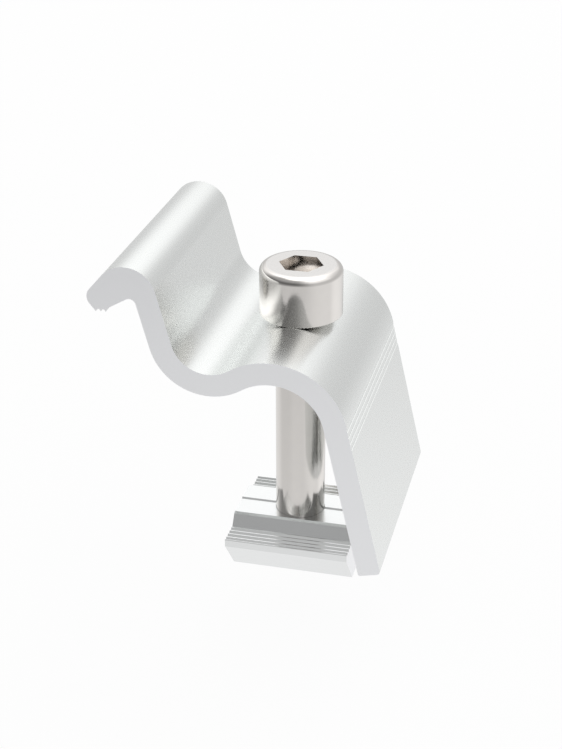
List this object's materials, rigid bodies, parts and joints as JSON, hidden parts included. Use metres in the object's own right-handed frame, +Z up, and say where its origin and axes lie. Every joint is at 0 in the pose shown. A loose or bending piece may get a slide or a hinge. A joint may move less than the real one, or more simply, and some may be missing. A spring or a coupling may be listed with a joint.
{
  "type": "solar panel end clamp",
  "caption": "Aluminium end clamp with a toothed hook that holds a framed solar panel on a mounting rail by a cap screw and a slot nut.",
  "frame": {"origin": "on the screw's axis, in the plane of the mounting rail's top face", "axes": "+X along the rail from the panel to the clamp's leg, +Y along the profile across the rail, +Z up out of the rail"},
  "size_m": [0.0446, 0.0384, 0.058],
  "materials": {
    "clamp_aluminium": "satin, natural",
    "stainless_steel": "polished",
    "nut_aluminium": "as extruded"
  },
  "bodies": {
    "clamp": {"clamp_body": "clamp_aluminium"},
    "screw": {"socket_screw": "stainless_steel"},
    "nut": {"slot_nut": "nut_aluminium"}
  },
  "joints": [
    {"name": "screw_turn", "type": "hinge", "parent": "clamp", "child": "screw", "pos_m": [0, 0, 0], "axis": [0, 0, 1], "range_deg": [0, 1800]},
    {"name": "nut_travel", "type": "slide", "parent": "clamp", "child": "nut", "axis": [0, 0, 1], "range_m": [-0.00625, 0]}
  ],
  "couplings": [
    {"joint": "nut_travel", "follows": "screw_turn", "m_per_rad": -0.00019894}
  ]
}
